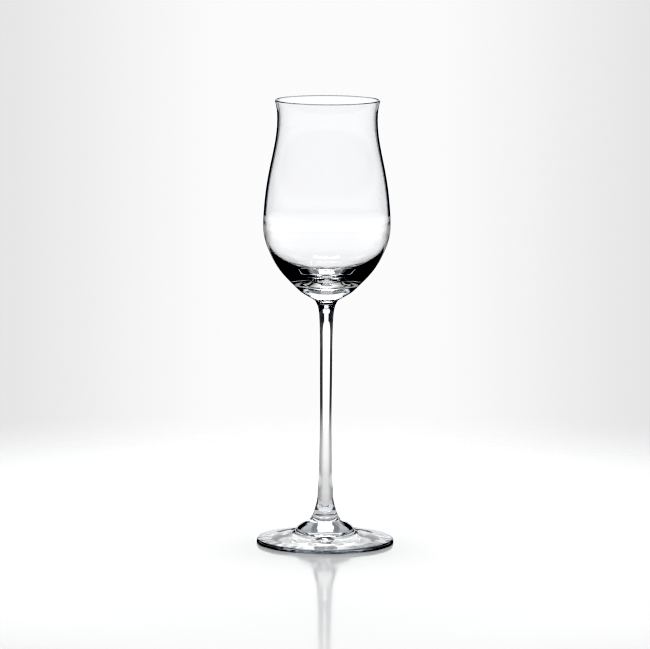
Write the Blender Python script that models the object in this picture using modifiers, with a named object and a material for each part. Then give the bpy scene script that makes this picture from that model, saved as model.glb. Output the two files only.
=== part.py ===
"""Grappa glass: a tulip bowl on a slim drawn stem and a round foot, all clear glass.

Units are metres, +Z is up, and the origin is the middle of the foot's resting ring.
Three turned solids: bowl, stem and foot. On the real glass they are joined hot, face
to face; here a hairline gap is kept at the two joints.
"""
import bpy
import math

MM = 0.001

# ---------------------------------------------------------------- driving dimensions (mm)
HEIGHT = 210.0            # foot to rim
GAP = 0.30                # hairline left at each hot joint
SEGMENTS = 40             # facets round the axis

BOWL_JOINT_Z = 115.4      # crease between bowl and stem
BOWL_JOINT_R = 5.45
FOOT_JOINT_Z = 11.0       # crease between stem and foot
FOOT_JOINT_R = 7.2

RIM_R = 24.75             # outer radius at the lip
WAIST_Z, WAIST_R = 201.0, 23.61
BELLY_Z, BELLY_R = 151.0, 29.95
WALL = 0.95               # blown wall, rim to belly
CAVITY_FLOOR_Z = 126.0    # lowest point inside the bowl

STEM_THIN_Z, STEM_THIN_R = 58.0, 2.70

FOOT_R = 32.35
FOOT_EDGE = 2.04          # height of the foot's top where its rounded edge begins
EDGE_MID = 0.41           # height of the widest point of the edge
EDGE_TOP_IN, EDGE_LOW_IN = 0.73, 0.65   # how far the rounding reaches in, above and below
RING_IN = 29.5            # inside radius of the flat resting ring
HOLLOW = 2.0              # rise of the underside at the middle

# Outer side of the bowl, rim to joint: height, radius.
BOWL_OUTER = [
    (HEIGHT - 0.5, RIM_R), (205.5, 23.90), (WAIST_Z, WAIST_R), (195.0, 23.93), (187.0, 25.16),
    (178.0, 27.01), (168.5, 28.65), (159.5, 29.62), (BELLY_Z, BELLY_R), (144.5, 29.16),
    (138.5, 27.00), (132.5, 23.91), (127.0, 19.74), (122.5, 15.36), (119.2, 11.74),
    (117.0, 8.20), (BOWL_JOINT_Z + GAP / 2, BOWL_JOINT_R),
]
# Inside of the bowl below the belly, where the wall thickens into the solid base.
BOWL_INNER_LOW = [
    (146.0, 28.2), (138.4, 25.5), (132.8, 21.0), (129.0, 15.0), (127.3, 8.0), (CAVITY_FLOOR_Z, 0.0),
]
# Stem, joint to joint.
STEM_SIDE = [
    (BOWL_JOINT_Z - GAP / 2, BOWL_JOINT_R - 0.1), (113.2, 4.30), (109.9, 3.58), (104.0, 3.17),
    (95.0, 2.96), (80.0, 2.86), (STEM_THIN_Z, STEM_THIN_R), (42.0, 2.88), (32.0, 3.14),
    (25.0, 3.55), (20.0, 3.89), (16.8, 4.72), (14.2, 5.44),
    (FOOT_JOINT_Z + GAP / 2, FOOT_JOINT_R - 0.1),
]
# Top of the foot, joint to edge: a round shoulder, a dip at its foot, then the thin disc.
FOOT_TOP = [
    (FOOT_JOINT_Z - GAP / 2, FOOT_JOINT_R), (9.80, 9.40), (8.70, 11.2), (7.20, 13.1), (5.70, 14.5),
    (4.75, 16.6), (4.03, 20.0), (2.79, 25.0), (2.28, 29.0), (FOOT_EDGE, FOOT_R - EDGE_TOP_IN),
]


# ---------------------------------------------------------------- curve helpers
def smooth(stations, count):
    """A curve of even bend through (z, r) stations: a natural cubic by chord length, evenly sampled."""
    n = len(stations)
    t = [0.0]
    for (za, ra), (zb, rb) in zip(stations, stations[1:]):
        t.append(t[-1] + math.hypot(zb - za, rb - ra))
    h = [b - a for a, b in zip(t, t[1:])]
    bend = []
    for k in (0, 1):
        v = [p[k] for p in stations]
        c, d = [0.0] * n, [0.0] * n
        for i in range(1, n - 1):
            rhs = 6.0 * ((v[i + 1] - v[i]) / h[i] - (v[i] - v[i - 1]) / h[i - 1])
            m = 2.0 * (h[i - 1] + h[i]) - h[i - 1] * c[i - 1]
            c[i] = h[i] / m
            d[i] = (rhs - h[i - 1] * d[i - 1]) / m
        for i in range(n - 2, 0, -1):
            d[i] -= c[i] * d[i + 1]
        bend.append(d)
    out = []
    for j in range(count + 1):
        s = t[-1] * j / count
        i = max(k for k in range(n - 1) if t[k] <= s + 1e-12)
        a, b = t[i + 1] - s, s - t[i]
        out.append(tuple(
            (bend[k][i] * a**3 + bend[k][i + 1] * b**3) / (6 * h[i])
            + (stations[i][k] / h[i] - bend[k][i] * h[i] / 6) * a
            + (stations[i + 1][k] / h[i] - bend[k][i + 1] * h[i] / 6) * b for k in (0, 1)))
    return out


def offset_inward(side, wall):
    """The same curve moved towards the axis by a wall thickness, square to the surface."""
    out = []
    for i, (z, r) in enumerate(side):
        za, ra = side[max(i - 1, 0)]
        zb, rb = side[min(i + 1, len(side) - 1)]
        length = math.hypot(zb - za, rb - ra)
        nz, nr = (rb - ra) / length, -(zb - za) / length   # outward normal of a curve that runs down
        out.append((z - wall * nz, r - wall * nr))
    return out


def arc(centre, radius, start_deg, end_deg, count):
    """Points on a circle in the section plane; angle 0 points outward, 90 points up."""
    zc, rc = centre
    out = []
    for j in range(count + 1):
        a = math.radians(start_deg + (end_deg - start_deg) * j / count)
        out.append((zc + radius * math.sin(a), rc + radius * math.cos(a)))
    return out


# ---------------------------------------------------------------- profiles
def bowl_profile():
    outer = smooth(BOWL_OUTER, 34)
    blown = [p for p in offset_inward(outer, WALL) if BELLY_Z + 4.0 < p[0] < HEIGHT - 1.2]
    lip = arc((HEIGHT - WALL / 2, RIM_R - WALL / 2), WALL / 2, 180.0, 0.0, 6)
    low = BOWL_INNER_LOW
    inner = smooth([*blown[-3:], *low, (low[-2][0], -low[-2][1])], 40)
    inner = [p for p in inner if p[0] < blown[-1][0] - 1.0 and p[1] > 1.0][::2] + [low[-1]]
    return list(reversed(blown + inner)) + lip + outer[1:] + [(outer[-1][0], 0.0)]


def stem_profile():
    side = smooth(STEM_SIDE, 30)
    return [(side[0][0], 0.0)] + side + [(side[-1][0], 0.0)]


def foot_profile():
    top = smooth(FOOT_TOP, 18)
    quarter = [math.pi / 2 * j / 4 for j in range(1, 5)]
    upper = [(EDGE_MID + (FOOT_EDGE - EDGE_MID) * math.cos(a), FOOT_R - EDGE_TOP_IN * (1 - math.sin(a))) for a in quarter]
    lower = [(EDGE_MID * (1 - math.sin(a)), FOOT_R - EDGE_LOW_IN * (1 - math.cos(a))) for a in quarter]
    hollow = [(HOLLOW * (1.0 - (r / RING_IN) ** 2), r) for r in (RING_IN * (1 - j / 8) for j in range(1, 9))]
    return [(top[0][0], 0.0)] + top + upper + lower + [(0.0, RING_IN)] + hollow


# ---------------------------------------------------------------- objects
def glass(name, colour, roughness):
    material = bpy.data.materials.new(name)
    material.use_nodes = True
    shader = material.node_tree.nodes["Principled BSDF"]
    shader.inputs["Base Color"].default_value = (*colour, 1.0)
    shader.inputs["Roughness"].default_value = roughness
    shader.inputs["Metallic"].default_value = 0.0
    shader.inputs["IOR"].default_value = 1.52
    shader.inputs["Transmission Weight"].default_value = 1.0
    return material


def turned(name, profile, collection, material, parent):
    """A solid of revolution: the profile runs round +Z, its outer side from top to bottom."""
    mesh = bpy.data.meshes.new(name)
    points = [(r * MM, 0.0, z * MM) for z, r in profile]
    mesh.from_pydata(points, [(i, i + 1) for i in range(len(points) - 1)], [])
    mesh.materials.append(material)
    piece = bpy.data.objects.new(name, mesh)
    collection.objects.link(piece)
    piece.parent = parent
    screw = piece.modifiers.new("turn", "SCREW")
    screw.axis = "Z"
    screw.angle = math.tau
    screw.steps = SEGMENTS
    screw.render_steps = SEGMENTS
    screw.use_merge_vertices = True
    screw.merge_threshold = 0.00001
    screw.use_smooth_shade = True
    return piece


def main():
    for old in list(bpy.data.objects):
        bpy.data.objects.remove(old, do_unlink=True)
    collection = bpy.data.collections.new("grappa_glass")
    bpy.context.scene.collection.children.link(collection)

    stand = bpy.data.objects.new("glass_axis", None)
    collection.objects.link(stand)

    turned("bowl", bowl_profile(), collection, glass("bowl_glass", (0.985, 0.99, 0.99), 0.0), stand)
    turned("stem", stem_profile(), collection, glass("stem_glass", (0.98, 0.985, 0.985), 0.0), stand)
    turned("foot", foot_profile(), collection, glass("foot_glass", (0.965, 0.98, 0.985), 0.02), stand)


main()
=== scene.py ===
"""Looks of the grappa glass: clear blown bowl, drawn stem and foot on a pale glossy table."""
import bpy
import bmesh
import math
from mathutils import Matrix, Vector, noise


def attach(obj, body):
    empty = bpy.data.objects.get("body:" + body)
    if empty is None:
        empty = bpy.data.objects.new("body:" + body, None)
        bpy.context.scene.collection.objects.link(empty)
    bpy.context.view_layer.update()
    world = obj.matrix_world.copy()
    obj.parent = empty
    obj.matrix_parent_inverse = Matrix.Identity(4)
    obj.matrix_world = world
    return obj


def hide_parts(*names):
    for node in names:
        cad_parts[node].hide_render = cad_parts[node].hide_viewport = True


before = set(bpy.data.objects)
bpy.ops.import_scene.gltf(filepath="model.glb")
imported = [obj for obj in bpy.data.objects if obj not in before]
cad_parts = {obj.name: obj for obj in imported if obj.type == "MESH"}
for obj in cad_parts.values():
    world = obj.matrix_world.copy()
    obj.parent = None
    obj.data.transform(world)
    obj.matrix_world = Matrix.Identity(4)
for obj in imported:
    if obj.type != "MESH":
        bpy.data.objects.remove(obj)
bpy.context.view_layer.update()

MM = 0.001
TURN = 224                # facets round the axis

# ------------------------------------------------------------------ dimensions (mm): height, radius
HEIGHT = 210.0
RIM_R = 24.75
WALL = 0.95
JOINT_UP_Z, JOINT_UP_R = 115.4, 5.45
JOINT_LOW_Z, JOINT_LOW_R = 11.0, 7.2
FOOT_R = 32.35
FOOT_EDGE = 2.04          # top of the rounded edge
EDGE_MID = 0.41           # height of the widest point
EDGE_IN_TOP, EDGE_IN_LOW = 0.73, 0.65
RING_IN = 29.5           # the foot rests on a broad ring outside this radius
HOLLOW, HOLLOW_POWER = 2.0, 1.0

ROUND_BOWL = 0.0012       # how far the bowl is out of round
RIPPLE = 0.03             # ripple of the thick inside floor
EDGE_WAVER = 0.16         # waver of the foot's edge
SHADOW_LINE_HIGH = 0.0010        # height of the painted contact shadow, a dark line low on the foot's edge (m)
CORD_BOWL, CORD_STEM, CORD_FOOT = 0.8e-6, 0.5e-6, 3.0e-6   # depth of the drawn cords (m)

BOWL_OUTER = [
    (209.5, 24.75), (205.5, 23.90), (201.0, 23.61), (195.0, 23.93), (187.0, 25.16), (178.0, 27.01),
    (168.5, 28.65), (159.5, 29.62), (151.0, 29.95), (144.5, 29.16), (138.5, 27.00), (132.5, 23.91),
    (127.0, 19.74), (122.5, 15.36), (119.2, 11.74), (117.0, 8.20), (115.4, 5.45),
]
BOWL_INNER_LOW = [
    (146.0, 28.2), (138.4, 25.5), (132.8, 21.0), (129.0, 15.0), (127.3, 8.0), (126.0, 0.0),
]
STEM_SIDE = [
    (JOINT_UP_Z, JOINT_UP_R), (113.2, 4.30), (109.9, 3.58), (104.0, 3.17), (95.0, 2.96), (80.0, 2.86),
    (58.0, 2.70), (42.0, 2.88), (32.0, 3.14), (25.0, 3.55), (20.0, 3.89), (16.8, 4.72), (14.2, 5.44),
    (JOINT_LOW_Z, JOINT_LOW_R),
]
FOOT_TOP = [
    (JOINT_LOW_Z, JOINT_LOW_R), (9.80, 9.40), (8.70, 11.2), (7.20, 13.1), (5.70, 14.5), (4.75, 16.6),
    (4.03, 20.0), (2.79, 25.0), (2.28, 29.0), (FOOT_EDGE, FOOT_R - EDGE_IN_TOP),
]


# ------------------------------------------------------------------ curve helpers
def smooth(stations, count):
    """A curve of even bend through (z, r) stations: a natural cubic by chord length, evenly sampled."""
    n = len(stations)
    t = [0.0]
    for (za, ra), (zb, rb) in zip(stations, stations[1:]):
        t.append(t[-1] + math.hypot(zb - za, rb - ra))
    h = [b - a for a, b in zip(t, t[1:])]
    bend = []
    for k in (0, 1):
        v = [p[k] for p in stations]
        c, d = [0.0] * n, [0.0] * n
        for i in range(1, n - 1):
            rhs = 6.0 * ((v[i + 1] - v[i]) / h[i] - (v[i] - v[i - 1]) / h[i - 1])
            m = 2.0 * (h[i - 1] + h[i]) - h[i - 1] * c[i - 1]
            c[i] = h[i] / m
            d[i] = (rhs - h[i - 1] * d[i - 1]) / m
        for i in range(n - 2, 0, -1):
            d[i] -= c[i] * d[i + 1]
        bend.append(d)
    out = []
    for j in range(count + 1):
        s = t[-1] * j / count
        i = max(k for k in range(n - 1) if t[k] <= s + 1e-12)
        a, b = t[i + 1] - s, s - t[i]
        out.append(tuple(
            (bend[k][i] * a**3 + bend[k][i + 1] * b**3) / (6 * h[i])
            + (stations[i][k] / h[i] - bend[k][i] * h[i] / 6) * a
            + (stations[i + 1][k] / h[i] - bend[k][i + 1] * h[i] / 6) * b for k in (0, 1)))
    return out


def offset_inward(side, wall):
    out = []
    for i, (z, r) in enumerate(side):
        za, ra = side[max(i - 1, 0)]
        zb, rb = side[min(i + 1, len(side) - 1)]
        length = math.hypot(zb - za, rb - ra)
        out.append((z - wall * (rb - ra) / length, r + wall * (zb - za) / length))
    return out


def arc(centre, radius, start_deg, end_deg, count):
    zc, rc = centre
    return [(zc + radius * math.sin(a), rc + radius * math.cos(a)) for a in
            (math.radians(start_deg + (end_deg - start_deg) * j / count) for j in range(count + 1))]


# ------------------------------------------------------------------ turned pieces
def turned(name, profile, joint_strips, kinds=None, hand=None):
    """Closed solid of revolution about +Z. profile is (z, r) in mm from the axis round to the axis;
    strips listed in joint_strips are the hot-fused faces and take the second material slot."""
    bm = bmesh.new()
    rings = []
    for i, (z, r) in enumerate(profile):
        if r < 1e-6:
            rings.append([bm.verts.new((0.0, 0.0, z * MM))])
            continue
        ring = []
        for k in range(TURN):
            a = math.tau * k / TURN
            zz, rr = (z, r) if hand is None else hand(kinds[i], z, r, a)
            ring.append(bm.verts.new((rr * math.cos(a) * MM, rr * math.sin(a) * MM, zz * MM)))
        rings.append(ring)
    for i, (up, low) in enumerate(zip(rings, rings[1:])):
        for k in range(TURN):
            n = (k + 1) % TURN
            if len(up) == 1:
                face = bm.faces.new((up[0], low[k], low[n]))
            elif len(low) == 1:
                face = bm.faces.new((up[k], low[0], up[n]))
            else:
                face = bm.faces.new((up[k], low[k], low[n], up[n]))
            face.material_index = 1 if i in joint_strips else 0
            face.smooth = True
    mesh = bpy.data.meshes.new(name)
    bm.to_mesh(mesh)
    bm.free()
    mesh.set_sharp_from_angle(angle=math.radians(32))
    piece = bpy.data.objects.new(name, mesh)
    bpy.context.scene.collection.objects.link(piece)
    return piece


def drift(z, r, a, scale, seed):
    """Smooth unevenness of hand work, about -1 to 1, the same on every run."""
    return noise.noise(Vector((r * math.cos(a) / scale + seed, r * math.sin(a) / scale, z / scale)))


def bowl_hand(kind, z, r, a):
    """The blown wall is a touch out of round, and the thick inside floor is faintly rippled."""
    r *= 1.0 + ROUND_BOWL * math.cos(2.0 * a + 0.7) * min(1.0, max(0.0, (z - 120.0) / 40.0))
    if kind == "inside" and z < 140.0:
        z += RIPPLE * drift(z, r, a, 3.4, 3.0) * min(1.0, r / 6.0) * min(1.0, (140.0 - z) / 6.0)
    return z, r


def foot_hand(kind, z, r, a):
    """The foot is spun out by hand: its edge and underside waver a little round the turn."""
    t = min(1.0, max(0.0, (r - 24.0) / 7.0))
    if kind == "edge":
        z += EDGE_WAVER * t * (drift(0.0, 6.0, a, 1.5, 1.0) + 0.6 * drift(0.0, 16.0, a, 1.5, 5.0))
        r += 0.5 * EDGE_WAVER * t * drift(0.0, 12.0, a, 1.5, 9.0)
    elif kind == "under":
        z = max(0.0, z + 0.5 * EDGE_WAVER * drift(0.0, r, a, 4.0, 2.0) * min(1.0, z / 0.3))
    return max(z, 0.0), r


def bowl_profile():
    outer = smooth(BOWL_OUTER, 200)
    blown = [p for p in offset_inward(outer, WALL) if 156.0 < p[0] < HEIGHT - 1.0]
    lip = arc((HEIGHT - WALL / 2, RIM_R - WALL / 2), WALL / 2, 180.0, 0.0, 14)
    low = BOWL_INNER_LOW
    lead = [blown[-11], blown[-6], blown[-1]]
    inner = smooth([*lead, *low, (low[-2][0], -low[-2][1])], 160)
    inner = [p for p in inner if p[1] > 0.2 and p[0] < blown[-1][0] - 0.2] + [low[-1]]
    inside = list(reversed(blown + inner))
    profile = inside + lip + outer[1:] + [(outer[-1][0], 0.0)]
    return profile, {len(profile) - 2}, ["inside"] * len(inside) + ["outside"] * (len(profile) - len(inside))


def stem_profile():
    side = smooth(STEM_SIDE, 140)
    return [(side[0][0], 0.0)] + side + [(side[-1][0], 0.0)], {0, len(side)}, None


def foot_profile():
    top = smooth(FOOT_TOP, 90)
    quarter = [math.pi / 2 * j / 9 for j in range(1, 10)]
    upper = [(EDGE_MID + (FOOT_EDGE - EDGE_MID) * math.cos(a), FOOT_R - EDGE_IN_TOP * (1 - math.sin(a))) for a in quarter]
    lower = [(EDGE_MID * (1 - math.sin(a)), FOOT_R - EDGE_IN_LOW * (1 - math.cos(a))) for a in quarter]
    ring_out = FOOT_R - EDGE_IN_LOW
    ring = [(0.0, ring_out + (RING_IN - ring_out) * j / 8) for j in range(1, 9)]
    hollow = [(HOLLOW * (1.0 - (r / RING_IN) ** 2) ** HOLLOW_POWER, r)
              for r in (RING_IN * (1 - j / 40) for j in range(1, 41))]
    edge = top + upper + lower[:-2]
    rest = lower[-2:] + ring + hollow
    return [(top[0][0], 0.0)] + edge + rest, {0}, ["top"] + ["edge"] * len(edge) + ["rest"] * (2 + len(ring)) + ["under"] * len(hollow)


# ------------------------------------------------------------------ materials
# half height (m) of each near-black line of painted shade at the bowl–stem crease
CREASE_SHADE_HALF = 0.00040


def clear_glass(name, tint, cord_scale, cord_depth, lip_shade_from=None, edge_tint=None, crease_shade_heights=()):
    """Clear crystal: faint cords drawn along the axis bend the light, the polish varies a hair, and thick
    glass is slightly cool. Above the height where the fire-polished lip starts (m), the colour is a dark grey painted
    shade for the lip's dark line.
    Each crease height (m) takes a fine near-black line of painted shade, standing in for the shade at the bowl–stem
    crease."""
    m = bpy.data.materials.new(name)
    m.use_nodes = True
    nt = m.node_tree
    p = nt.nodes["Principled BSDF"]
    p.inputs["IOR"].default_value = 1.52
    p.inputs["Transmission Weight"].default_value = 1.0
    at = nt.nodes.new("ShaderNodeTexCoord")
    stretch = nt.nodes.new("ShaderNodeMapping")
    stretch.inputs["Scale"].default_value = (1.0, 1.0, 0.22)
    nt.links.new(at.outputs["Object"], stretch.inputs["Vector"])
    cords = nt.nodes.new("ShaderNodeTexNoise")
    cords.inputs["Scale"].default_value = cord_scale
    cords.inputs["Detail"].default_value = 2.0
    cords.inputs["Roughness"].default_value = 0.45
    nt.links.new(stretch.outputs["Vector"], cords.inputs["Vector"])
    bump = nt.nodes.new("ShaderNodeBump")
    bump.inputs["Strength"].default_value = 1.0
    bump.inputs["Distance"].default_value = cord_depth
    nt.links.new(cords.outputs[0], bump.inputs["Height"])
    nt.links.new(bump.outputs["Normal"], p.inputs["Normal"])
    wipe = nt.nodes.new("ShaderNodeTexNoise")
    wipe.inputs["Scale"].default_value = 55.0
    wipe.inputs["Detail"].default_value = 4.0
    nt.links.new(at.outputs["Object"], wipe.inputs["Vector"])
    polish = nt.nodes.new("ShaderNodeMapRange")
    polish.inputs["From Min"].default_value = 0.45
    polish.inputs["From Max"].default_value = 0.75
    polish.inputs["To Min"].default_value = 0.0
    polish.inputs["To Max"].default_value = 0.012
    nt.links.new(wipe.outputs[0], polish.inputs["Value"])
    nt.links.new(polish.outputs["Result"], p.inputs["Roughness"])
    hue = nt.nodes.new("ShaderNodeMix")
    hue.data_type = "RGBA"
    hue.inputs["A"].default_value = (*tint, 1.0)
    hue.inputs["B"].default_value = (min(1.0, tint[0] * 1.012), tint[1], tint[2], 1.0)
    nt.links.new(wipe.outputs[0], hue.inputs["Factor"])
    colour = hue.outputs["Result"]
    # painted shade: above the lip height the colour turns dark grey, standing in for the dark line the lip shows by
    # refraction
    if lip_shade_from is not None:
        sep = nt.nodes.new("ShaderNodeSeparateXYZ")
        nt.links.new(at.outputs["Object"], sep.inputs[0])
        edge = nt.nodes.new("ShaderNodeMapRange")
        edge.inputs["From Min"].default_value = lip_shade_from
        edge.inputs["From Max"].default_value = lip_shade_from + 0.0003
        nt.links.new(sep.outputs[2], edge.inputs["Value"])
        lip = nt.nodes.new("ShaderNodeMix")
        lip.data_type = "RGBA"
        lip.inputs["B"].default_value = (0.30, 0.31, 0.33, 1.0)
        nt.links.new(edge.outputs["Result"], lip.inputs["Factor"])
        nt.links.new(colour, lip.inputs["A"])
        colour = lip.outputs["Result"]
    # painted shade: a near-black line at each given height stands in for the shade at the bowl–stem crease
    for height in crease_shade_heights:
        sep = nt.nodes.new("ShaderNodeSeparateXYZ")
        nt.links.new(at.outputs["Object"], sep.inputs[0])
        line = nt.nodes.new("ShaderNodeMath")
        line.operation = "COMPARE"
        line.inputs[1].default_value = height
        line.inputs[2].default_value = CREASE_SHADE_HALF
        nt.links.new(sep.outputs[2], line.inputs[0])
        crease_shade = nt.nodes.new("ShaderNodeMix")
        crease_shade.data_type = "RGBA"
        crease_shade.inputs["B"].default_value = (0.002, 0.0022, 0.0025, 1.0)
        nt.links.new(line.outputs[0], crease_shade.inputs["Factor"])
        nt.links.new(colour, crease_shade.inputs["A"])
        colour = crease_shade.outputs["Result"]
    if edge_tint is not None:
        flat = nt.nodes.new("ShaderNodeVectorMath")
        flat.operation = "MULTIPLY"
        flat.inputs[1].default_value = (1.0, 1.0, 0.0)
        nt.links.new(at.outputs["Object"], flat.inputs[0])
        out_from = nt.nodes.new("ShaderNodeVectorMath")
        out_from.operation = "LENGTH"
        nt.links.new(flat.outputs["Vector"], out_from.inputs[0])
        edge = nt.nodes.new("ShaderNodeMapRange")
        edge.inputs["From Min"].default_value = 0.0260
        edge.inputs["From Max"].default_value = 0.0305
        nt.links.new(out_from.outputs["Value"], edge.inputs["Value"])
        rim = nt.nodes.new("ShaderNodeMix")
        rim.data_type = "RGBA"
        rim.inputs["B"].default_value = (*edge_tint, 1.0)
        nt.links.new(edge.outputs["Result"], rim.inputs["Factor"])
        nt.links.new(colour, rim.inputs["A"])
        colour = rim.outputs["Result"]
        # painted contact shadow: the lowest hair of the edge, next to the table, is painted nearly dark, and the line
        # breaks up round the turn
        up = nt.nodes.new("ShaderNodeSeparateXYZ")
        nt.links.new(at.outputs["Object"], up.inputs[0])
        low = nt.nodes.new("ShaderNodeMapRange")
        low.inputs["From Min"].default_value = SHADOW_LINE_HIGH
        low.inputs["From Max"].default_value = SHADOW_LINE_HIGH - 0.0003
        nt.links.new(up.outputs[2], low.inputs["Value"])
        outside = nt.nodes.new("ShaderNodeMapRange")
        outside.inputs["From Min"].default_value = 0.0306
        outside.inputs["From Max"].default_value = 0.0312
        nt.links.new(out_from.outputs["Value"], outside.inputs["Value"])
        broken = nt.nodes.new("ShaderNodeMapRange")
        broken.inputs["From Min"].default_value = 0.36
        broken.inputs["From Max"].default_value = 0.46
        nt.links.new(wipe.outputs[0], broken.inputs["Value"])
        line = low.outputs["Result"]
        for part in (outside, broken):
            both = nt.nodes.new("ShaderNodeMath")
            both.operation = "MULTIPLY"
            nt.links.new(line, both.inputs[0])
            nt.links.new(part.outputs["Result"], both.inputs[1])
            line = both.outputs[0]
        dark = nt.nodes.new("ShaderNodeMix")
        dark.data_type = "RGBA"
        dark.inputs["B"].default_value = (0.06, 0.07, 0.09, 1.0)
        nt.links.new(line, dark.inputs["Factor"])
        nt.links.new(colour, dark.inputs["A"])
        colour = dark.outputs["Result"]
    nt.links.new(colour, p.inputs["Base Color"])
    return m


def fused_joint(name):
    m = bpy.data.materials.new(name)
    m.use_nodes = True
    nt = m.node_tree
    nt.nodes.clear()
    out = nt.nodes.new("ShaderNodeOutputMaterial")
    t = nt.nodes.new("ShaderNodeBsdfTransparent")
    nt.links.new(t.outputs[0], out.inputs[0])
    return m


joint = fused_joint("fused_joint")
bowl_glass = clear_glass("bowl_glass", (0.985, 0.993, 1.0), 160.0, CORD_BOWL, lip_shade_from=0.20935, crease_shade_heights=(0.1161,))
stem_glass = clear_glass("stem_glass", (0.985, 0.993, 1.0), 260.0, CORD_STEM, crease_shade_heights=(0.1145,))
foot_glass = clear_glass("foot_glass", (0.940, 0.972, 1.0), 220.0, CORD_FOOT, edge_tint=(0.83, 0.92, 1.0))
for name, node, make, hand, glass in (
        ("blown_bowl", "bowl", bowl_profile, bowl_hand, bowl_glass),
        ("drawn_stem", "stem", stem_profile, None, stem_glass),
        ("round_foot", "foot", foot_profile, foot_hand, foot_glass)):
    profile, strips, kinds = make()
    piece = turned(name, profile, strips, kinds, hand)
    piece.data.materials.append(glass)
    piece.data.materials.append(joint)
    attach(piece, "root")
    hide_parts(node)


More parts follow.
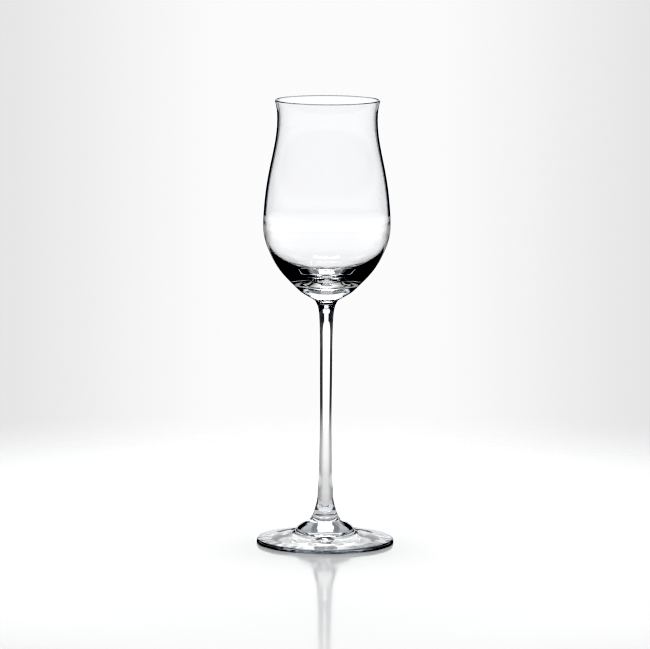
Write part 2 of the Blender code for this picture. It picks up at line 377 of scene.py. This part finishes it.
# ------------------------------------------------------------------ stage
def table():
    bm = bmesh.new()
    bmesh.ops.create_circle(bm, cap_ends=True, radius=1.40, segments=192)
    mesh = bpy.data.meshes.new("table_top")
    bm.to_mesh(mesh)
    bm.free()
    top = bpy.data.objects.new("table_top", mesh)
    top.location.z = -0.00005
    bpy.context.scene.collection.objects.link(top)
    m = bpy.data.materials.new("table_gloss_and_painted_glow")
    m.use_nodes = True
    nt = m.node_tree
    p = nt.nodes["Principled BSDF"]

    def put(socket, v):
        if isinstance(v, (int, float)):
            socket.default_value = v
        else:
            nt.links.new(v, socket)

    def op(kind, a, b=0.0):
        n = nt.nodes.new("ShaderNodeMath")
        n.operation = kind
        put(n.inputs[0], a)
        put(n.inputs[1], b)
        return n.outputs[0]

    def ramp(v, lo, hi, a, b):
        n = nt.nodes.new("ShaderNodeMapRange")
        n.interpolation_type = "SMOOTHSTEP"
        for key, w in (("Value", v), ("From Min", lo), ("From Max", hi), ("To Min", a), ("To Max", b)):
            put(n.inputs[key], w)
        return n.outputs["Result"]

    path = nt.nodes.new("ShaderNodeLightPath")
    at = nt.nodes.new("ShaderNodeTexCoord")
    sep = nt.nodes.new("ShaderNodeSeparateXYZ")
    nt.links.new(at.outputs["Object"], sep.inputs[0])
    far = op("SQRT", op("ADD", op("MULTIPLY", sep.outputs[0], sep.outputs[0]), op("MULTIPLY", sep.outputs[1], sep.outputs[1])))
    side = op("MULTIPLY", op("ARCTAN2", sep.outputs[0], sep.outputs[1]), 180.0 / math.pi)
    through = ramp(path.outputs["Transmission Depth"], 0.0, 1.0, 0.0, 1.0)
    bounced = path.outputs["Glossy Depth"]
    mirrored = ramp(bounced, 0.0, 1.0, 0.0, 1.0)
    once = op("MULTIPLY", mirrored, ramp(bounced, 1.0, 2.0, 1.0, 0.0))
    # painted light: rays seen through the glass find the table glowing by its own emission, not lit by any lamp, in a
    # lane at the back, a little dimmer close to the foot, with dark flanks far out
    glow_fresnel = nt.nodes.new("ShaderNodeFresnel")
    glow_fresnel.inputs["IOR"].default_value = 1.7
    turn = op("ABSOLUTE", op("ADD", side, LANE_LEAN))
    half = ramp(far, 0.90, 1.35, LANE_HALF, LANE_END)
    lane = ramp(op("DIVIDE", turn, half), 0.80, 1.12, 1.0, 0.0)
    near = op("MULTIPLY", ramp(far, 0.03, 0.30, TABLE_NEAR, TABLE_MID), ramp(turn, 5.0, 42.0, 1.0, 0.55))
    near = op("MAXIMUM", near, ramp(glow_fresnel.outputs[0], 0.09, 0.20, 0.92, 0.0))
    open_floor = op("MINIMUM", ramp(far, 0.40, 0.90, TABLE_MID, TABLE_FAR), ramp(far, 1.02, 1.30, TABLE_FAR, TABLE_END))
    open_floor = op("MULTIPLY", open_floor, ramp(op("ABSOLUTE", side), 1.0, 8.0, 1.0, 1.18))
    level = op("ADD", op("MULTIPLY", near, ramp(far, 0.28, 0.42, 1.0, 0.0)), op("MULTIPLY", ramp(far, 0.28, 0.42, 0.0, 1.0), open_floor))
    lane = op("MULTIPLY", lane, level)
    close = op("MULTIPLY", ramp(far, 0.22, 0.50, 0.9, 0.0), near)
    ahead = ramp(op("ADD", op("ABSOLUTE", side), ramp(far, 0.45, 0.70, 0.0, 18.0)), 84.0, 96.0, 0.0, 0.9)
    ahead = op("MULTIPLY", ahead, ramp(far, 0.030, 0.060, AHEAD_NEAR, 1.0))
    steep = op("MULTIPLY", ramp(glow_fresnel.outputs[0], 0.24, 0.40, 0.90, 0.02), ramp(far, 0.05, 0.12, 0.0, 1.0))
    straight_on = op("MAXIMUM", op("MAXIMUM", lane, close), op("MAXIMUM", ahead, steep))
    reach = op("ADD", ramp(far, 0.012, 0.024, 92.0, 0.0), ramp(far, 0.20, 0.26, 18.0, 0.0))
    folded = ramp(op("SUBTRACT", turn, reach), 12.0, 16.0, 1.0, 0.0)
    folded = op("MULTIPLY", op("MULTIPLY", folded, ramp(far, 0.020, 0.060, FOLD_NEAR, 1.0)), op("MULTIPLY", ramp(far, 0.32, 0.54, 1.0, FOLD_FAR), ramp(far, 0.60, 0.74, 1.0, 0.0)))
    under = op("MULTIPLY", ramp(far, 0.0275, 0.0305, UNDER, 0.0), ramp(bounced, 3.0, 4.5, 0.0, 1.0))
    twice = op("MULTIPLY", op("MULTIPLY", ramp(bounced, 1.0, 2.0, 0.0, 0.8), ramp(bounced, 2.0, 3.0, 1.0, 0.0)), op("MULTIPLY", ramp(far, 0.05, 0.09, 0.0, 1.0), ramp(far, 0.68, 0.78, 1.0, 0.0)))
    twice = op("MULTIPLY", twice, ramp(op("SUBTRACT", turn, reach), 10.0, 15.0, 1.0, 0.0))
    painted_glow = op("ADD", op("ADD", op("MULTIPLY", straight_on, op("SUBTRACT", 1.0, mirrored)), op("MULTIPLY", folded, once)), twice)
    painted_glow = op("MULTIPLY", through, op("MAXIMUM", painted_glow, op("MULTIPLY", under, mirrored)))
    # painted reflection: to rays mirrored once in the bowl's walls, the table beside the glass glows by emission
    beside = op("MULTIPLY", ramp(op("ABSOLUTE", side), 7.0, 13.0, 0.0, FILL), ramp(far, 0.48, 0.60, 0.0, 1.0))
    beside = op("MULTIPLY", op("MULTIPLY", beside, once), op("MAXIMUM", op("MAXIMUM", ramp(glow_fresnel.outputs[0], 0.30, 0.42, 1.0, 0.0), ramp(glow_fresnel.outputs[0], 0.62, 0.75, 0.0, 1.0)), ramp(far, 0.80, 0.95, 0.0, 1.0)))
    painted_glow = op("MAXIMUM", painted_glow, beside)
    # painted shade: to rays seen through or mirrored in the glass, the table's own colour drops to near black, and its
    # painted glow stands in for its light
    straight = op("SUBTRACT", 1.0, op("MAXIMUM", through, mirrored))
    nt.links.new(op("ADD", op("MULTIPLY", straight, TABLE_BASE - TABLE_DARK), TABLE_DARK), p.inputs["Base Color"])
    p.inputs["Emission Color"].default_value = (1.0, 1.0, 1.0, 1.0)
    nt.links.new(painted_glow, p.inputs["Emission Strength"])
    nt.links.new(op("MULTIPLY", straight, 0.5), p.inputs["Specular IOR Level"])
    p.inputs["Roughness"].default_value = 0.10
    p.inputs["IOR"].default_value = 1.7
    seen = path.outputs["Is Camera Ray"]
    open_fade = ramp(far, 0.20, 0.42, 1.0, 0.0)
    wide_fade = ramp(far, 1.22, 1.38, 1.0, 0.0)
    put(p.inputs["Alpha"], op("ADD", op("MULTIPLY", seen, open_fade), op("MULTIPLY", op("SUBTRACT", 1.0, seen), wide_fade)))
    mesh.materials.append(m)
    return top


# levels of the table: its own pale colour for direct view, and the painted glow and painted shade it shows to rays seen
# through or mirrored in the glass
TABLE_BASE = 0.86
TABLE_NEAR = 0.62
TABLE_MID, TABLE_FAR, TABLE_END = 1.0, 1.07, 0.98
UNDER = 1.4
AHEAD_NEAR = 0.15
FOLD_NEAR, FOLD_FAR = 0.55, 0.5
FILL = 0.5
TABLE_DARK = 0.02
LANE_HALF, LANE_END, LANE_LEAN = 27.0, 15.5, 2.0
table()


GAP_DEEP = 0.8            # thin dim gap between the low and the high panel
WING_IN, WING_OUT = 0.25, 0.45
PANEL_LOW, PANEL_MID = 11.8, 9.5
LOW_MORE, LOW_FOLDED = 7.2, 11.0
SHEET, FLAG, THIRD, BAND_DIM = 2.0, 0.65, 0.7, 0.6


def studio():
    w = bpy.data.worlds.new("studio")
    bpy.context.scene.world = w
    w.use_nodes = True
    nt = w.node_tree
    nt.nodes.clear()
    out = nt.nodes.new("ShaderNodeOutputWorld")
    bg = nt.nodes.new("ShaderNodeBackground")
    nt.links.new(bg.outputs[0], out.inputs[0])
    tc = nt.nodes.new("ShaderNodeTexCoord")
    sep = nt.nodes.new("ShaderNodeSeparateXYZ")
    nt.links.new(tc.outputs["Generated"], sep.inputs[0])
    X, Y, Z = sep.outputs

    def put(socket, v):
        if isinstance(v, (int, float)):
            socket.default_value = v
        else:
            nt.links.new(v, socket)

    def op(kind, a, b=0.0):
        n = nt.nodes.new("ShaderNodeMath")
        n.operation = kind
        put(n.inputs[0], a)
        put(n.inputs[1], b)
        return n.outputs[0]

    def ramp(v, lo, hi, a, b):
        n = nt.nodes.new("ShaderNodeMapRange")
        n.interpolation_type = "SMOOTHSTEP"
        put(n.inputs["Value"], v)
        put(n.inputs["From Min"], lo)
        put(n.inputs["From Max"], hi)
        put(n.inputs["To Min"], a)
        put(n.inputs["To Max"], b)
        return n.outputs["Result"]

    deg = 180.0 / math.pi
    side = op("MULTIPLY", op("ARCTAN2", X, Y), deg)
    psi = op("ABSOLUTE", side)
    elev = op("MULTIPLY", op("ARCSINE", Z), deg)
    path = nt.nodes.new("ShaderNodeLightPath")
    first = ramp(path.outputs["Glossy Depth"], 0.0, 1.0, 1.0, 0.0)
    outer = ramp(path.outputs["Transmission Depth"], 0.0, 1.0, 1.0, 0.0)
    folded = op("SUBTRACT", 1.0, first)
    front = op("MULTIPLY", ramp(psi, 66.0, 76.0, 0.0, 0.80), op("MULTIPLY", first, op("SUBTRACT", 1.0, outer)))
    gap = op("MULTIPLY", ramp(elev, 3.8, 5.0, 0.0, GAP_DEEP), ramp(elev, 6.6, 7.8, 1.0, 0.0))
    gap = op("SUBTRACT", 1.0, op("MULTIPLY", gap, op("SUBTRACT", 1.0, outer)))
    gain = op("ADD", ramp(elev, 3.0, 6.0, 1.03, 1.25), ramp(elev, 64.0, 70.0, 0.0, 1.2))
    gain = op("MULTIPLY", gain, op("MULTIPLY", ramp(elev, -30.0, -20.0, 0.0, 1.0), gap))
    crown = op("ADD", ramp(elev, 52.0, 56.0, 1.0, 0.0), ramp(elev, 64.0, 70.0, 0.0, 1.0))
    depth = path.outputs["Glossy Depth"]
    trapped = op("MULTIPLY", ramp(depth, 2.0, 3.0, 0.0, 1.0), ramp(elev, 15.0, 23.0, 0.95, 0.0))
    trapped = op("MAXIMUM", trapped, op("MULTIPLY", ramp(depth, 2.0, 3.0, 0.0, 1.0), ramp(elev, 61.0, 66.0, 0.0, 0.95)))
    trapped = op("MAXIMUM", trapped, ramp(depth, 3.0, 4.5, 0.0, 0.85))
    gain = op("MULTIPLY", gain, op("MULTIPLY", crown, op("SUBTRACT", 1.0, trapped)))
    # mirrored inside the thick base: a dim band once, and a dim horizon for the first mirroring
    second = op("MULTIPLY", ramp(depth, 1.0, 2.0, 0.0, 1.0), ramp(depth, 2.0, 3.0, 1.0, 0.0))
    band = op("MULTIPLY", second, op("MULTIPLY", ramp(elev, 12.5, 14.5, 0.0, 1.0), ramp(elev, 24.0, 28.0, 1.0, 0.0)))
    band = op("MULTIPLY", band, op("MULTIPLY", ramp(psi, 6.0, 10.0, BAND_DIM, 0.97), ramp(psi, 24.0, 30.0, 1.0, 0.0)))
    single = op("MULTIPLY", ramp(depth, 0.0, 1.0, 0.0, 1.0), ramp(depth, 1.0, 2.0, 1.0, 0.0))
    single = op("MULTIPLY", op("MULTIPLY", single, op("SUBTRACT", 1.0, outer)), op("MULTIPLY", ramp(psi, 12.0, 15.0, 1.0, 0.0), ramp(elev, -0.3, 0.7, 0.85, 0.0)))
    gain = op("MULTIPLY", gain, op("SUBTRACT", 1.0, op("MAXIMUM", band, single)))
    # mirrored straight off the foot's top: a bright sheet above, with a narrow dark flag low in its middle
    sheet = op("MULTIPLY", op("MULTIPLY", ramp(elev, 18.0, 23.0, 0.0, SHEET), ramp(elev, 42.0, 48.0, 1.0, 0.0)), ramp(psi, 11.0, 15.0, 1.0, 0.0))
    flag = op("MULTIPLY", op("MULTIPLY", ramp(psi, 2.2, 3.8, FLAG, 0.0), ramp(elev, 12.0, 13.5, 0.0, 1.0)), ramp(elev, 18.0, 20.5, 1.0, 0.0))
    gain = op("MULTIPLY", gain, op("SUBTRACT", 1.0, op("MULTIPLY", flag, outer)))
    mid = op("MULTIPLY", ramp(elev, 6.0, 8.0, 0.0, 1.0), ramp(elev, 24.0, 27.0, 1.0, 0.0))
    wings = ramp(psi, 17.5, 20.0, WING_IN, WING_OUT)
    wings = op("MULTIPLY", wings, ramp(op("SUBTRACT", psi, ramp(elev, 12.0, 26.0, 38.0, 25.0)), -2.0, 2.0, 1.0, 0.0))
    wings = op("MULTIPLY", op("MULTIPLY", wings, op("MULTIPLY", folded, op("SUBTRACT", 1.0, outer))), op("MAXIMUM", mid, op("MULTIPLY", ramp(elev, 2.0, 4.0, 0.0, 1.0), ramp(elev, 8.0, 9.0, 1.0, 0.0))))
    third = op("MULTIPLY", ramp(depth, 2.0, 3.0, 0.0, 1.0), ramp(depth, 3.0, 4.0, 1.0, 0.0))
    third = op("MULTIPLY", third, op("MULTIPLY", ramp(psi, 48.0, 58.0, 0.0, THIRD), ramp(psi, 98.0, 108.0, 1.0, 0.0)))
    third = op("MULTIPLY", third, op("MULTIPLY", ramp(elev, 8.0, 12.0, 0.0, 1.0), ramp(elev, 22.0, 28.0, 1.0, 0.0)))
    wings = op("MAXIMUM", wings, third)
    once = op("MULTIPLY", ramp(path.outputs["Glossy Depth"], 0.0, 1.0, 0.0, 1.0), ramp(path.outputs["Glossy Depth"], 1.0, 2.0, 1.0, 0.0))
    beside = op("MULTIPLY", ramp(psi, 28.0, 35.0, 0.0, FILL), op("MULTIPLY", ramp(elev, -16.0, -10.0, 0.0, 1.0), ramp(op("SUBTRACT", elev, ramp(psi, 55.0, 85.0, 11.0, 70.0)), -2.0, 2.0, 1.0, 0.0)))
    wings = op("MAXIMUM", wings, op("MULTIPLY", beside, once))
    backdrop = ramp(psi, 0.8, 4.2, 0.94, 0.76)
    seen = path.outputs["Is Camera Ray"]
    low_more = op("ADD", op("MULTIPLY", folded, LOW_FOLDED - LOW_MORE), LOW_MORE)
    mix = nt.nodes.new("ShaderNodeCombineColor")
    for channel, spread, floor in (("Red", 0.99, 0.008), ("Green", 1.0, 0.010), ("Blue", 1.012, 0.014)):
        half = op("SUBTRACT", PANEL_LOW, op("MULTIPLY", mid, PANEL_LOW - PANEL_MID))
        half = op("ADD", half, op("MULTIPLY", ramp(elev, -1.0, -0.2, 0.0, low_more), ramp(elev, 6.0, 8.0, 1.0, 0.0)))
        half = op("ADD", half, op("ADD", ramp(elev, 24.0, 28.0, 0.0, 12.2), ramp(elev, 31.0, 37.0, 0.0, 32.0)))
        half = op("MULTIPLY", half, spread)
        panel = op("MULTIPLY", ramp(op("DIVIDE", psi, half), 0.93, 1.07, 1.0, 0.0), gain)
        panel = op("ADD", panel, op("MULTIPLY", sheet, outer))
        lit = op("ADD", op("MAXIMUM", op("MAXIMUM", panel, wings), front), floor)
        level = op("ADD", op("MULTIPLY", backdrop, seen), op("MULTIPLY", lit, op("SUBTRACT", 1.0, seen)))
        put(mix.inputs[channel], level)
    nt.links.new(mix.outputs[0], bg.inputs["Color"])
    bg.inputs["Strength"].default_value = 1.0


studio()

sun = bpy.data.lights.new("overhead", "AREA")
sun.shape = "DISK"
sun.size = 0.9
sun.energy = 18.0
top = bpy.data.objects.new("overhead", sun)
top.location = (0, 0.1, 1.6)
top.visible_glossy = False
bpy.context.scene.collection.objects.link(top)

# ------------------------------------------------------------------ camera
cam = bpy.data.cameras.new("camera")
cam.sensor_width = 36.0
cam.lens = 5103.0 / 650.0 * 36.0
cam.clip_start = 0.05
view = bpy.data.objects.new("camera", cam)
view.location = (0.0, -2.380, 0.425)
pitch, yaw, roll = math.radians(7.685), math.radians(0.0146), math.radians(0.33)
view.rotation_euler = (Matrix.Rotation(yaw, 3, "Z") @ Matrix.Rotation(math.pi / 2 - pitch, 3, "X")
                       @ Matrix.Rotation(roll, 3, "Z")).to_euler()
bpy.context.scene.collection.objects.link(view)
bpy.context.scene.camera = view

scene = bpy.context.scene
scene.view_settings.view_transform = "Standard"
scene.view_settings.look = "None"
scene.cycles.max_bounces = 32
scene.cycles.filter_width = 1.1
scene.cycles.glossy_bounces = 9
scene.cycles.transmission_bounces = 32
scene.cycles.transparent_max_bounces = 32
scene.view_settings.use_curve_mapping = True
tone = scene.view_settings.curve_mapping
tone.black_level = (0.02, 0.02, 0.02)
tone.white_level = (0.97, 0.97, 0.97)
tone.update()
